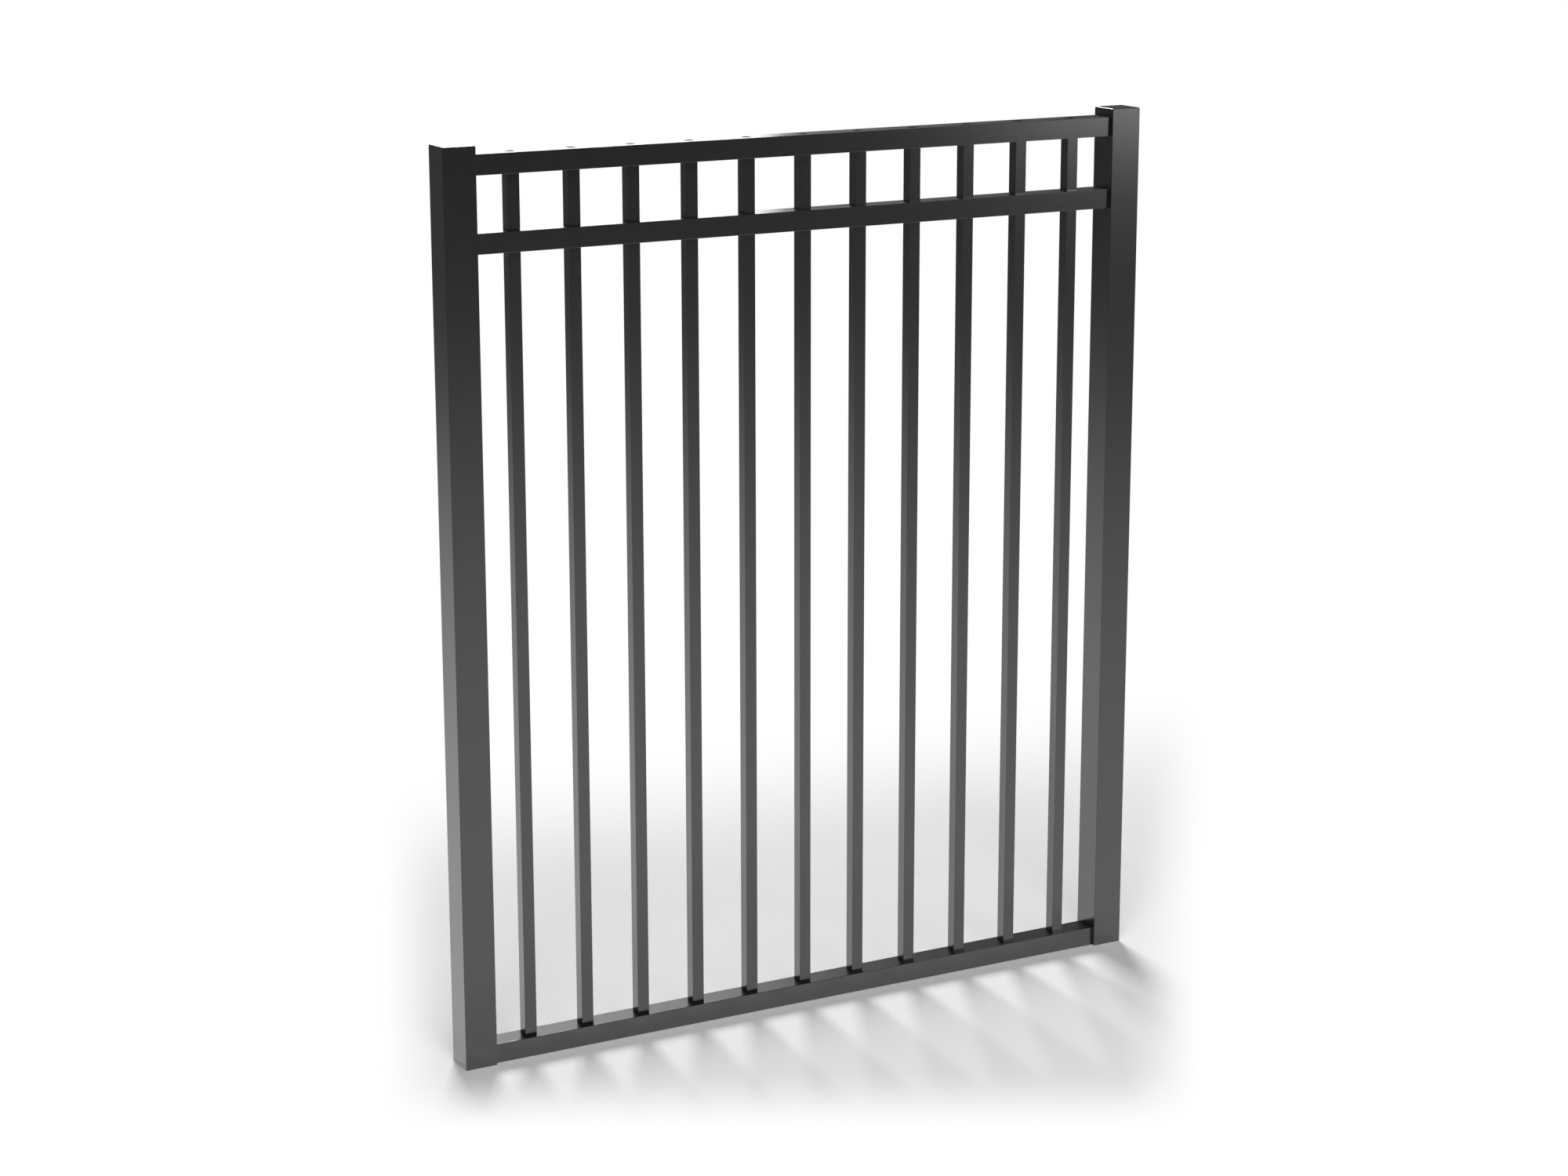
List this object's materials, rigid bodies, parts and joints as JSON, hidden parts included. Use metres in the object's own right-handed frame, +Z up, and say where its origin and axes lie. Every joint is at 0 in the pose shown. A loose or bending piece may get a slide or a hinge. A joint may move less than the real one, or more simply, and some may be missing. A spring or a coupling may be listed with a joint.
{
  "type": "pool gate",
  "caption": "Black powder-coated aluminium pool gate leaf: square uprights with flat caps, a double top rail, a bottom rail and plain square pickets",
  "frame": {"origin": "On the outer face of the hinge-side (left) upright, at its foot and in the middle of the leaf's thickness", "axes": "X runs along the gate from the hinge side to the latch side, Y through its thickness away from the viewer, Z up"},
  "size_m": [1.1811, 0.0508, 1.3843],
  "materials": {
    "frame_coat": "satin",
    "picket_coat": "satin",
    "cap_coat": "satin"
  },
  "bodies": {
    "root": {"left_upright": "frame_coat", "right_upright": "frame_coat", "top_rail": "frame_coat", "middle_rail": "frame_coat", "bottom_rail": "frame_coat", "left_cap": "cap_coat", "right_cap": "cap_coat", "picket_01": "picket_coat", "picket_02": "picket_coat", "picket_03": "picket_coat", "picket_04": "picket_coat", "picket_05": "picket_coat", "picket_06": "picket_coat", "picket_07": "picket_coat", "picket_08": "picket_coat", "picket_09": "picket_coat", "picket_10": "picket_coat", "picket_11": "picket_coat"}
  },
  "joints": []
}
